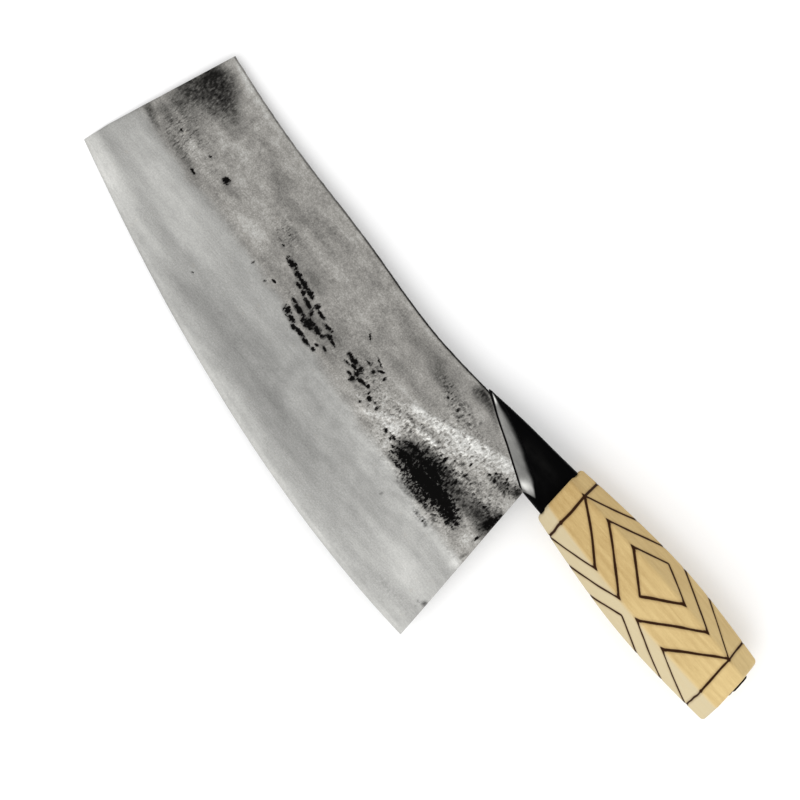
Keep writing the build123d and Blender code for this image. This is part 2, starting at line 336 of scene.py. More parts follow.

# Where bare metal is brighter: rubbed spots, and a painted highlight along the crooked step before the heel
PALE_AND_HIGHLIGHT_PATCHES = [
    (-46, -16.2, 9, 2.6, 0.7, 20), (-60.5, -21, 5, 2, 0.5, 24), (-33, -12.4, 8, 3, 0.6, 16),
    (-24, -9.2, 6.5, 2.4, 0.85, 14), (-38, -18.6, 9, 2.4, 0.4, 4), (-64, -34.5, 5, 5, 0.66, 20),
    (-59.5, -37.5, 3.4, 4.4, 0.85), (-47.5, -25.2, 7, 1, 0.75, 8), (-62, -42, 6, 3, 0.3),
    (-9, -18.5, 3.5, 4.5, 0.55), (-10, -41, 4, 6, 0.55), (-14, -35.2, 4, 2, 0.45),
    (-72, -35.5, 9, 1.4, 0.55, 38), (-180, -11.5, 17, 4, 0.34), (-138, -10.5, 12, 2.2, 0.26),
    (-205, 11.5, 12, 2.6, 0.5, -12), (-36, -12, 26, 3, 0.2, 18), (-27, -53, 18, 4, 0.25),
    (-18, -68, 20, 8, 0.55), (-184, -45, 30, 9, 0.42, -8), (-50, -44, 6, 2, 0.3),
    (-212, -37, 24, 7, 0.24, -8), (-180, 4, 13, 4, 0.24, -4), (-144, 4.5, 12, 3.5, 0.22, -4),
    (-157, -24.5, 8, 6, 0.32), (-96, -12, 12, 4, 0.2), (-22, -11, 4.5, 2.6, 0.5, 14),
    (-168, -37, 10, 4, 0.25), (-132, -38, 10, 3.5, 0.25), (-84, -37, 8, 3, 0.2), (-21, -44.5, 5, 2.4, 0.4),
    (-212, -52, 14, 6, 0.28), (-180, -60, 12, 4, 0.25, -4), (-146, -67, 14, 4, 0.22, -4),
    (-50, -26.8, 5, 1.8, 0.45, 10), (-35.5, -22, 9, 3.4, 0.45, 8), (-5.6, -50, 2.2, 3.6, 0.55, -8),
    (-77, -24, 12, 7, 0.24), (-176, -10, 9, 4, 0.22), (-135, -10, 10, 3.5, 0.22), (-85, -42, 34, 4, 0.13),
    (-95, -58, 14, 5, 0.14), (-15, -51, 12, 4, 0.16), (-56, -30, 6, 6, 0.16), (-34, -25, 6, 3, 0.14),
    (-15.5, -22.4, 5.5, 1.5, 0.4, 8), (-19, -18.6, 5, 1.4, 0.25, 4),
]

# Where the surface is cobbled with small dents that run from edge to spine
ROUGH_PATCHES = [
    (-40, -18, 26, 7, 0.58, 18), (-38, -26, 22, 4.5, 1, 4), (-38, -43.5, 16, 2.6, 1, -3),
    (-17, -15, 8, 4.5, 1, 8), (-15, -25, 9, 3.5, 0.9, 4), (-56, -8, 11, 3, 0.75, -16),
    (-66, -33, 15, 8, 0.48, 8), (-80, -30, 10, 7, 0.5), (-22, -38, 7, 6, 0.9), (-10, -40, 5, 12, 0.35),
    (-208, -21, 15, 8, 0.92, -6), (-208, -4, 13, 9, 0.55), (-150, -15, 10, 5.5, 0.95),
    (-131, -29, 7, 4, 0.55), (-186, -20, 12, 10, 0.35), (-97, -18, 7, 6, 0.35), (-29, -48.6, 6, 1.4, 0.6),
    (-105, -29, 12, 6, 0.45), (-40, -14.5, 24, 6, 0.42, 18), (-87, -24, 8, 4, 0.45), (-60, -38, 8, 6, 0.35),
    (-46, -8, 9, 3, 0.45, -18),
]


def from_middle(x, y, cx, cy, half_length, half_height, tilt=0):
    """Distance from a patch's middle, along and across it, where 1 is its half size."""
    turn = math.radians(tilt)
    dx, dy = x - cx, y - cy
    along = (dx * math.cos(turn) + dy * math.sin(turn)) / half_length
    across = (dy * math.cos(turn) - dx * math.sin(turn)) / half_height
    return along, across


def spot_field(x, y, spots):
    """1 inside the spots, falling to 0 a little outside them, so that a material can fray the rim."""
    field = np.zeros_like(x)
    rim, inside = 1.9, 1.5
    for spot in spots:
        field = np.maximum(field, rim - np.hypot(*from_middle(x, y, *spot)))
    return np.clip(field, 0.0, inside) / inside


def patch_field(x, y, patches):
    """1 inside the patches, falling softly to 0. Patches that overlap add up, but never past 1."""
    clear = np.ones_like(x)
    for cx, cy, half_length, half_height, strength, *tilt in patches:
        along, across = from_middle(x, y, cx, cy, half_length, half_height, *tilt)
        clear = clear * (1 - strength * np.exp(-(along**2 + across**2)))
    return 1 - clear


def forged_zone(x, y, seed):
    return smooth(-2.5, 3.0, y - shoulder_y(x) + 1.6 * noise(x / 11, y / 8, seed + 3))


def from_line(x, y, start, end):
    """Share of the way along a line, and the distance above it."""
    (ax, ay), (bx, by) = start, end
    length = math.hypot(bx - ax, by - ay)
    ux, uy = (bx - ax) / length, (by - ay) / length
    return ((x - ax) * ux + (y - ay) * uy) / length, (y - ay) * ux - (x - ax) * uy


def heel_step(x, y):
    """1 on the side towards the edge of the crooked step that runs from the neck towards the toe."""
    along, above = from_line(x, y, (-68, -22.1), (-18, -3.9))
    below = 0.5 * noise(x / 5, y / 5, 12) - above
    return smooth(-0.4, 0.8, below) * smooth(-0.05, 0.12, along) * smooth(14, 6, below)


def cobbles(x, y):
    """Small dents that run from edge to spine: 1 at the bottom of a dent, down to -1 on a crown."""
    mixed = noise(x / 0.85, y / 1.75, 7) + 0.7 * noise(x / 1.7, y / 2.3, 8)
    return smooth(0.05, 0.60, mixed) - smooth(-0.05, -0.70, mixed)


# Rounded ridges before the heel, one of them a groove: (start, end, half width, height)
CRESTS = [((-70, -29), (-41, -24), 1.4, 0.22), ((-84, -39), (-62, -30.5), 1.6, 0.16),
          ((-62, -25.4), (-46, -20.8), 1.1, -0.16), ((-60, -43), (-8, -47), 2.2, 0.08)]


def crest(x, y, start, end, width, height):
    """A rounded ridge along a line, fading at both ends."""
    along, across = from_line(x, y, start, end)
    across = across + 0.8 * noise(x / 6, y / 6, 12)
    fade = smooth(-0.1, 0.15, along) * smooth(1.12, 0.85, along)
    return height * fade * np.exp(-(across / width) ** 2)


PIT_DEPTH = 0.16

# The left face is side 1 and the right face is side -1, each with its own noise
FACE_SEED = {1: 0, -1: 40}

# The right face is drawn in a little, so that its high spots stay clear of the floor
RIGHT_SUNK = 0.16


def relief(x, y, side):
    """Height of the hammered and ground surface over the true face, in millimetres."""
    seed = FACE_SEED[side]
    forged = forged_zone(x, y, seed)
    height = forged * (0.09 * noise(x / 15, y / 11, seed) + 0.045 * noise(x / 5.5, y / 5, seed + 1))
    fine = 0.016 * noise(x / 1.9, y / 2.6, seed + 2) + 0.008 * noise(x / 0.95, y / 1.3, seed + 3)
    height += forged * fine
    height += 0.022 * noise(x / 34, y / 11, seed + 5) + 0.010 * noise(x / 14, y / 5, seed + 6)
    spots = SCALE_SPOTS if side > 0 else RIGHT_SPOTS
    height -= PIT_DEPTH * smooth(0.45, 0.8, spot_field(x, y, spots))
    if side > 0:
        rough = patch_field(x, y, ROUGH_PATCHES)
        height += rough * (0.05 * noise(x / 3.4, y / 4.2, 8) - 0.085 * cobbles(x, y) * smooth(-95, -85, x))
        height += 0.20 * heel_step(x, y)
        height += sum(crest(x, y, *ridge) for ridge in CRESTS)
    else:
        height -= RIGHT_SUNK
    return height


# Half the thickness left on the sharpened edge
EDGE_HALF = 0.015


def half_thickness(x, y, side):
    """From the middle of the plate to one face."""
    taper = (HEEL_THICK - TOE_THICK) / (TONGUE_FRONT[0] - TOE_EDGE_X)
    flat = (HEEL_THICK - taper * np.clip(TONGUE_FRONT[0] - x, 0, None)) / 2
    rise = y - edge_y(x)
    bevel = mix(EDGE_HALF, BEVEL_THICK / 2, np.clip(rise / BEVEL_WIDTH, 0, 1))
    wedge = bevel + WEDGE_SLOPE * np.clip(rise - BEVEL_WIDTH, 0, None)
    soft = 0.16
    meet = np.clip(0.5 + 0.5 * (flat - wedge) / soft, 0, 1)
    true_face = mix(flat, wedge, meet) - soft * meet * (1 - meet)
    spine = np.where(x < TONGUE_FRONT[0], spine_y(np.minimum(x, TONGUE_FRONT[0])), TONGUE_FRONT[1])
    rounded = 1 - 0.22 * smooth(0.9, 0.0, spine - y) ** 2
    clear_of_weld = np.maximum(smooth(-0.3, 3.0, seam_y(x) - y), smooth(-49.0, -52.0, x))
    return (true_face + relief(x, y, side) * smooth(1.0, 6.0, rise) * clear_of_weld) * rounded


def blade_tone(x, y, side):
    """How bright the bare metal is, before its fine marks, painted highlights included: 0 for black and 1
    for white, as the eye sees.
    """
    seed = FACE_SEED[side]
    rise = y - edge_y(x)
    forged = forged_zone(x, y, seed)
    tone = mix(0.568, 0.522, forged)
    # Lighter within about 11 mm of the cutting edge, and more so at the toe: a painted highlight where the
    # ground wedge tilts towards the light
    tone += 0.055 * smooth(11.5, 3.0, rise) + 0.06 * smooth(9.0, 4.0, rise) * smooth(-180, -215, x)
    from_toe = smooth(-120, -175, x)
    dark_band = np.exp(-((rise - mix(17, 8, from_toe)) / mix(9, 6, from_toe)) ** 2)
    tone -= 0.065 * dark_band * smooth(-40, -105, x) * smooth(-205, -150, x)
    tone += 0.03 * np.exp(-((y + 47) / 3.5) ** 2) * smooth(-85, -60, x)
    tone += forged * (0.05 * np.exp(-((y + 23) / 6) ** 2) * smooth(-145, -165, x) * smooth(-215, -190, x))
    tone += forged * 0.06 * smooth(6, 14, y) * smooth(-150, -200, x)
    tone += 0.03 * noise(x / 45, y / 5.5, seed + 20) + 0.02 * noise(x / 18, y / 3.2, seed + 21)
    tone += forged * (0.04 * noise(x / 26, y / 4.5, seed + 22) + 0.03 * noise(x / 6, y / 3.5, seed + 23))
    blotchy = noise(x / 3.2, y / 4.0, seed + 25) + 0.6 * noise(x / 1.6, y / 2.6, seed + 26)
    tone += 0.045 * forged * smooth(-160, -190, x) * blotchy
    tone += 0.025 * noise(x / 5, y / 3, seed + 24) * smooth(-135, -105, x) * smooth(-66, -56, y)
    if side > 0:
        # Painted highlight on the heel step, and the pale patches: rubbed metal, with painted highlight
        # along the step
        tone += 0.07 * heel_step(x, y) + 0.20 * patch_field(x, y, PALE_AND_HIGHLIGHT_PATCHES)
    under_spine = spine_y(np.minimum(x, TONGUE_FRONT[0])) - y
    tone += 0.035 * smooth(3.5, 1.5, under_spine) * forged
    return tone * (1 - mix(0.30, 0.78, smooth(-165, -85, x)) * smooth(0.80, 0.20, under_spine))


def blade_marks(x, y, side):
    if side > 0:
        spots, stains, patches = SCALE_SPOTS, STAINS_AND_NECK_SHADOW, ROUGH_PATCHES
    else:
        spots, stains = RIGHT_SPOTS, RIGHT_STAINS
        # Every other rough patch of the left face, moved and tilted the other way
        patches = [(cx - 20, cy + 4, length, height, strength, *(-t for t in tilt))
                   for cx, cy, length, height, strength, *tilt in ROUGH_PATCHES[::2]]
    rough = patch_field(x, y, patches)
    return {
        "tone": blade_tone(x, y, side),
        "scale": spot_field(x, y, spots),
        "stain_and_shade": patch_field(x, y, stains),
        "rough": rough,
        "dent": rough * cobbles(x, y) * smooth(-95, -85, x),
        "pocked": rough * smooth(-112, -84, x),
        "forged": forged_zone(x, y, FACE_SEED[side]),
    }


# How much of its thickness the plate keeps at its worn toe and heel
WORN_END = 0.88


def plate_piece(name, node, low_line, high_line, columns, shares):
    """A closed piece of the plate between two lines, from toe to heel and from 0 low to 1 high."""
    s, t = columns[:, None], np.asarray(shares)[None, :]
    low_x = mix(TOE_EDGE_X, HEEL_EDGE_X, s)
    high_x = mix(TOE_SPINE[0], TONGUE_REAR_X, s)
    low, high = low_line(low_x, high_x), high_line(low_x, high_x)
    x, y = mix(low[0], high[0], t), mix(low[1], high[1], t)
    left = np.stack([x, y, half_thickness(x, y, 1)], -1)
    right = np.stack([x, y, -half_thickness(x, y, -1)], -1)
    for face in (left, right):
        face[[0, -1], :, 2] *= WORN_END
    ring = both_faces(left, right)
    crown = slice(len(shares), len(shares) + len(ACROSS))
    if high_line is spine_line:
        dented = 0.12 * noise(ring[:, crown, 0] / 3.5, ring[:, crown, 2] / 3, 31)
        ring[:, crown, 1] += (0.10 + dented) * (ring[:, crown, 0] < TONGUE_FRONT[0] - 1)
    left_marks, right_marks = blade_marks(x, y, 1), blade_marks(x, y, -1)
    marks = {mark: both_faces(left_marks[mark], right_marks[mark]) for mark in left_marks}
    new_piece(name, ring, ring_faces(*ring.shape[:2], flip=True), node, 38, marks)


def edge_line(low_x, high_x):
    return low_x, edge_y(low_x) - mix(0.15, 0.45, smooth(-125, -160, low_x))


def steel_line(low_x, high_x):
    """The weld line between the edge steel and the softer plate."""
    plate_width = 95
    x = mix(low_x, high_x, STEEL_SHOWS / plate_width)
    return x, edge_y(x) + STEEL_SHOWS


def spine_line(low_x, high_x):
    return high_x, np.where(high_x < TONGUE_FRONT[0], spine_y(high_x), TONGUE_FRONT[1])


# The grids are finest over the rough ground before the heel
plate_columns = spread(352, 0.64, 0.97, 1.8)
near_spine = [0.992, 0.9955, 0.998, 0.9993, 1.0]
plate_shares = np.concatenate([spread(114, 0.36, 0.84, 1.5) * 0.988, near_spine])
steel_shares = np.linspace(0, STEEL_SHOWS, 20) / STEEL_SHOWS
plate_piece("blade_plate", "blade", steel_line, spine_line, plate_columns, plate_shares)
plate_piece("blade_edge", "edge_steel", edge_line, steel_line, plate_columns, steel_shares)


# ---- Neck, and the two weld fillets that join it to the blade's faces ----

PLATE_FACE = HEEL_THICK / 2
NECK_FRONT_X = NECK_TOP[0][0]
HEEL_X = -10.4
WELD_FRONT_X = -48.6
WELD_REAR_X = -3.5

# How far the weld's border is tucked into the neck, and how deep its back and the neck below it lie
WELD_TUCK = 0.45
WELD_BURIED = 0.35


def neck_face(x, y, side):
    """Height of the neck over the blade's middle plane: a cove along the seam, then a forged flat."""
    flat = mix(NECK_FRONT_THICK, NECK_REAR_THICK, (x - NECK_FRONT_X) / -NECK_FRONT_X) / 2
    flat = flat + 0.10 * noise(x / 8, y / 6, 50 + side) + 0.04 * noise(x / 3, y / 2.5, 52 + side) - 0.05
    climb = np.clip((y - seam_y(x)) / (bare_top_y(x) - seam_y(x)), 0, 1.6) ** 1.08
    soft = 0.22
    meet = np.clip(0.5 + 0.5 * (1 - climb) / soft, 0, 1)
    hollow = mix(1, climb, meet) - soft * meet * (1 - meet)
    height = PLATE_FACE + (flat - PLATE_FACE) * hollow
    radius = mix(0.7, NECK_EDGE_RADIUS, smooth(NECK_FRONT_X, -38, x))
    into_top = np.clip(y - neck_top_y(x) + radius, 0, radius)
    height -= radius - np.sqrt(radius**2 - into_top**2)
    into_bottom = np.clip(NECK_BOTTOM_Y + NECK_EDGE_RADIUS - y, 0, NECK_EDGE_RADIUS)
    turned_under = NECK_EDGE_RADIUS - np.sqrt(NECK_EDGE_RADIUS**2 - into_bottom**2)
    return height - turned_under * smooth(-12.0, -9.3, x)


def weld_low_y(x):
    """The lower border of the weld piece: the seam, then just under the bare steel on the neck."""
    return np.where(x < HEEL_X, seam_y(x) - 0.15, np.maximum(bare_low_y(x) - 0.5, NECK_BOTTOM_Y + 0.2))


def weld_high_y(x):
    above = bare_top_y(x) + 2.4 * smooth(NECK_FRONT_X, -38, x) * smooth(-4, -12, x) + 0.4
    return np.maximum(above, weld_low_y(x) + 0.5)


def weld_cover(x, y):
    """1 under the weld piece and 0 beside it."""
    lengthwise = smooth(-48.9, -48.3, x) * smooth(-3.2, -3.8, x)
    return lengthwise * smooth(0.0, 0.35, weld_high_y(x) - y) * np.where(
        x < HEEL_X, 1.0, smooth(0.0, 0.35, y - weld_low_y(x)))


# Where a grey sheen is painted on the neck's black skin
NECK_PAINTED_SHEEN = [(-13, 2.4, 10, 2.4, 0.9, -2), (-22, 1, 2.4, 3.4, 0.55, 12), (-9, -3.4, 6, 2, 0.55, -6)]


def neck_piece():
    columns = np.linspace(0, 1, 190)[:, None]
    shares = (0.5 - 0.5 * np.cos(np.linspace(0, math.pi, 70)))[None, :]
    y = np.zeros_like(columns * shares)
    # The rear end is raked, so x and y settle together
    for _ in range(4):
        x = mix(NECK_FRONT_X, 0.5 - END_LEAN * y, columns)
        y = mix(np.maximum(seam_y(x), NECK_BOTTOM_Y), neck_top_y(x), shares)
    faces = []
    for side in (1, -1):
        z = neck_face(x, y, side) - WELD_BURIED * weld_cover(x, y)
        faces.append(np.stack([x, y, side * z], -1))
    ring = both_faces(*faces)
    crown = slice(shares.size, shares.size + len(ACROSS))
    ring[:, crown, 1] += 0.05 + 0.08 * noise(ring[:, crown, 0] / 4, ring[:, crown, 2] / 3, 55)
    skin = ring_faces(len(ring), ring.shape[1], flip=True)
    painted_sheen = patch_field(faces[0][..., 0], faces[0][..., 1], NECK_PAINTED_SHEEN)
    marks = {"painted_sheen": both_faces(painted_sheen, painted_sheen)}
    new_piece("neck_forging", ring, skin, "neck", 50, marks)


def weld_piece(name, node, side):
    """The ground weld: bare steel low down, fading into the neck's black skin at its top."""
    x = np.linspace(WELD_FRONT_X, WELD_REAR_X, 230)[:, None]
    shares = np.concatenate([np.linspace(0, 0.12, 7)[:-1], np.linspace(0.12, 1, 42)])[None, :]
    low, high = weld_low_y(x), weld_high_y(x)
    y = mix(low, high, shares)
    x = x + 0 * y
    border = np.minimum(shares * (high - low), (1 - shares) * (high - low))
    border = np.minimum(border, np.minimum(x - WELD_FRONT_X, WELD_REAR_X - x))
    tucked = WELD_TUCK * smooth(0.30, 0.0, border) * np.where((shares < 0.5) & (x < HEEL_X), -0.12, 1.0)
    z = neck_face(x, y, side) - tucked + 0.012 * noise(x / 1.2, y / 5, 56)
    outer = np.stack([x, y, side * z], -1)
    inner = np.stack([x, y, side * np.minimum(PLATE_FACE - WELD_BURIED, z - 0.1)], -1)
    ring = np.concatenate([outer, inner[:, ::-1]], 1)
    frayed = 0.35 * noise(x / 6, y / 2, 57 + side)
    fade = mix(0.5, 2.2, smooth(-46, -34, x) * smooth(-5, -12, x))
    bare = smooth(0.9 * fade, -0.7 * fade, y - bare_top_y(x) + 0.3 * frayed * fade)
    crack = mix(0.70, 1.00, smooth(-38, -46, x))
    bare *= np.where(x < HEEL_X, smooth(crack, crack + 0.4, y - low + 0.12 * frayed), 1.0)
    bare *= smooth(-48.0, -47.0, x) * smooth(-3.6, -7.5, x)
    bare *= np.where(x > HEEL_X - 1, smooth(-0.35, 0.25, y - bare_low_y(x) + 0.3 * frayed), 1.0)
    # Painted highlights on the bare steel: a glint near its rear end, and below, a brighter front end
    painted_glint = 0.30 * np.exp(-((x + 11.4) / 2.8) ** 2 - ((y + 8.8) / 1.4) ** 2)
    painted_glint += 0.24 * np.exp(-((x + 9.4) / 3.8) ** 2 - ((y + 7.4) / 2.0) ** 2)
    tone = 0.505 + 0.03 * noise(x / 5, y / 1.4, 60) + painted_glint + 0.32 * smooth(-42.0, -45.0, x)
    marks = {"bare": bare, "tone": tone}
    marks = {mark: np.concatenate([values, values[:, ::-1]], 1) for mark, values in marks.items()}
    skin = ring_faces(len(ring), ring.shape[1], flip=side > 0)
    new_piece(name, ring, skin, node, 60, marks)


neck_piece()
weld_piece("weld_left", "weld_fillet_left", 1)
weld_piece("weld_right", "weld_fillet_right", -1)


# ---- Handle: a hexagonal barrel with burned lines, and a bore for the tang ----

# The burned pattern is drawn on each facet. `along` is measured from the handle's middle, following its
# raked ends, and `around` is 0 on a ridge with diamonds and 1 on a ridge where the zigzags cross.
# Each line runs from one distance to another as `around` goes from 0 to its last value.
LINE_RAKE = 0.123
PATTERN_MIDDLE = 51.6
RING_ALONG = 43.1
RING_MIDDLE = 0.3
ZIGZAGS = [(15.5, 0.0, 0.62), (29.6, 5.6, 1.0), (43.2, 20.6, 1.0)]
LINE_WIDTH = 0.85
CUT_DEPTH = 0.20
CUT_REACH = 0.42
FACET_WIDTH = 17.0

# Half of each rounded ridge, as a share of a facet, and its radius as a share of the ridge's distance
RIDGE_SHARE = 0.065
RIDGE_ROUNDING = 0.11
RIDGE_PER_FLAT = 1 / math.cos(math.radians(30))


def line_distance(along, around, smaller, larger, root):
    """Distance in millimetres to the nearest burned line, for arrays or for a material's values."""
    nearest = abs(abs(along - RING_MIDDLE) - RING_ALONG)
    for at_diamond, at_cross, last in ZIGZAGS:
        steep = (at_diamond - at_cross) / (last * FACET_WIDTH)
        gap = abs(abs(along) - at_diamond + around * (steep * FACET_WIDTH)) * (1 / math.hypot(1, steep))
        if last < 1:
            past = larger(around - last, 0.0) * FACET_WIDTH
            gap = root(gap * gap + past * past)
        nearest = smaller(nearest, gap)
    return nearest


def hexagon_ring(ridge, ridge_radius, flat_steps=40, arc_steps=6):
    """Points (y, z) around a hexagon with rounded ridges, and each point's `around` value."""
    arc = np.linspace(-30, 30, arc_steps + 1)
    share = np.linspace(0, 1, flat_steps + 1)[1:-1]
    middle = ridge - ridge_radius * RIDGE_PER_FLAT
    ridges = []
    for corner in range(6):
        axis, turn = math.radians(60 * corner), np.radians(60 * corner + arc)
        ridge_y = middle * math.cos(axis) + ridge_radius * np.cos(turn)
        ridge_z = middle * math.sin(axis) + ridge_radius * np.sin(turn)
        ridges.append(np.stack([ridge_y, ridge_z], -1))
    points, around = [], []
    for corner in range(6):
        flat = mix(ridges[corner][-1], ridges[(corner + 1) % 6][0], share[:, None])
        points += [ridges[corner], flat]
        away = [np.abs(arc) / 30 * RIDGE_SHARE, mix(RIDGE_SHARE, 1 - RIDGE_SHARE, share)]
        around += [1 - part for part in away] if corner % 2 == 0 else away
    return np.concatenate(points), np.concatenate(around)


def handle_rings():
    """Each ring from the front bore to the rear one: its x at the axis, how far it is drawn in, and its
    share of the way from the bore to the outside."""
    turn = np.linspace(0, math.pi / 2, 7)
    rounding = END_RADIUS * (1 - np.cos(turn)), END_RADIUS * (1 - np.sin(turn))
    face = np.linspace(0, 1, 12)[1:]
    body = np.linspace(END_RADIUS, HANDLE_LENGTH - END_RADIUS, 292)[1:-1]
    rings = [(0.0, END_RADIUS, 1 - k) for k in face[::-1]]
    rings += [(d, inset, 1.0) for d, inset in zip(*rounding)]
    rings += [(x, 0.0, 1.0) for x in body]
    rings += [(HANDLE_LENGTH - d, inset, 1.0) for d, inset in zip(rounding[0][::-1], rounding[1][::-1])]
    rings += [(HANDLE_LENGTH, END_RADIUS, 1 - k) for k in face]
    return rings


def handle_piece():
    points, marks = [], {"along": [], "around": [], "painted_reflection": []}
    ring, around = hexagon_ring(1.0, RIDGE_ROUNDING)
    for axis_x, inset, share in handle_rings():
        y = 0.0
        # Each ring is raked like the ends, so x and y settle together
        for _ in range(3):
            x = axis_x - END_LEAN * y
            ridge = barrel_ridge(x) - inset * RIDGE_PER_FLAT
            y = ring[:, 0] * ridge
        z = ring[:, 1] * ridge
        if share < 1:
            half_depth = mix(TANG_FRONT_DEPTH, TANG_BUTT_DEPTH, axis_x / HANDLE_LENGTH) / 2
            reach = np.maximum(np.abs(ring[:, 0]) / half_depth, np.abs(ring[:, 1]) / (TANG_WIDTH / 2))
            y = mix(ring[:, 0] / reach, y, share)
            z = mix(ring[:, 1] / reach, z, share)
            x = axis_x - END_LEAN * y
        along = x + LINE_RAKE * y - PATTERN_MIDDLE
        along = along + 0.30 * noise(x / 14, y / 9 + z / 7, 70)
        if share == 1 and inset < END_RADIUS * 0.5:
            out = ring / np.linalg.norm(ring, axis=-1, keepdims=True)
            nearest = line_distance(along, around, np.minimum, np.maximum, np.sqrt)
            cut = CUT_DEPTH * np.exp(-(nearest / CUT_REACH) ** 2)
            uneven = 0.05 * noise(x / 16, np.arange(len(x)) / 30, 71)
            y, z = y + out[:, 0] * (uneven - cut), z + out[:, 1] * (uneven - cut)
        points.append(np.stack([x + 0 * y, y, z], -1))
        # Painted reflection: the facets on the cutting edge's side are marked to be drawn paler and greyer
        marks["painted_reflection"].append(smooth(-0.44, -0.56, ring[:, 0]))
        marks["along"].append(along + 0 * y)
        marks["around"].append(around)
    faces = grid_faces(len(points), len(points[0]), close_rows=True)
    new_piece("handle_barrel", points, faces, "handle", 50, marks)


handle_piece()


# ---- Tang: a bar through the handle whose flattened tip is hammered over on the butt ----

def bar_section(inner, outer, half_width, corner, points=8):
    """A ring of points (x, y, z) round a bar whose section spans from inner to outer."""
    inner, outer = np.array(inner), np.array(outer)
    middle, half = (inner + outer) / 2, (outer - inner) / 2
    half_depth = np.linalg.norm(half)
    direction = half / half_depth
    corner = min(corner, half_depth * 0.9)
    ring = []
    for quarter in range(4):
        turn = math.pi / 2 * quarter + np.linspace(0, math.pi / 2, points)
        middle_turn = math.pi / 2 * quarter + math.pi / 4
        across = math.copysign(half_width - corner, math.cos(middle_turn)) + corner * np.cos(turn)
        depth = math.copysign(half_depth - corner, math.sin(middle_turn)) + corner * np.sin(turn)
        flat = middle[None, :] + depth[:, None] * direction[None, :]
        ring.append(np.stack([flat[:, 0], flat[:, 1], across], -1))
    return np.concatenate(ring)


def tang_piece():
    butt = TANG_BUTT_DEPTH / 2
    bend_thick = 1.3
    up = np.array([-math.sin(END_RAKE), math.cos(END_RAKE)])
    back = np.array([math.cos(END_RAKE), math.sin(END_RAKE)])
    hinge = np.array([HANDLE_LENGTH, 0.0]) + up * butt
    sections = []
    for share in np.linspace(0, 1, 30):
        x = mix(TANG_ROOT_X, HANDLE_LENGTH - 0.3, share)
        half = mix(TANG_FRONT_DEPTH, TANG_BUTT_DEPTH, share) / 2
        sections.append(bar_section((x, half), (x, -half), TANG_WIDTH / 2 - 0.02, 0.3))
    for share in np.linspace(0, 1, 14):
        turn = share * math.pi / 2
        reach = mix(2 * butt, bend_thick, smooth(0, 0.40, share))
        outer = hinge - up * reach * math.cos(turn) + back * reach * math.sin(turn)
        sections.append(bar_section(hinge - back * 0.1, outer, TANG_WIDTH / 2 + 0.1 * share, 0.35))
    length = TIP_REACH + 0.6 - butt
    for share in np.linspace(0.06, 1, 26):
        thick = mix(bend_thick, TIP_END_THICK, share) + 0.10 * noise(share * 5.0, 0.5, 80)
        narrowed = math.sqrt(max(0.0, 1 - max(0.0, (share - 0.80) / 0.215) ** 2))
        foot = hinge + up * length * share - back * 0.1
        width = (TANG_WIDTH / 2 + 0.1 + 0.25 * math.sin(share * 2.6)) * (0.35 + 0.65 * narrowed)
        sections.append(bar_section(foot, foot + back * (thick * (0.3 + 0.7 * narrowed) + 0.1), width, 0.4))
    ring = np.array(sections)
    dent = 0.10 * noise(ring[:, :, 1] / 1.7, ring[:, :, 2] / 1.9, 81)
    ring[:, :, 0] += dent * smooth(HANDLE_LENGTH, 106, ring[:, :, 0])
    new_piece("tang_bar", ring, ring_faces(*ring.shape[:2]), "tang", 50)


tang_piece()


# ---- Materials: all procedural, in the knife's axes and in millimetres ----

class Value:
    """A node's output that adds and multiplies like a number, so that a material reads as a formula."""

    def __init__(self, paint, socket):
        self.paint, self.socket = paint, socket

    def __add__(self, other):
        return self.paint.math("ADD", self, other)

    def __sub__(self, other):
        return self.paint.math("SUBTRACT", self, other)

    def __mul__(self, other):
        return self.paint.math("MULTIPLY", self, other)

    def __abs__(self):
        return self.paint.math("ABSOLUTE", self)


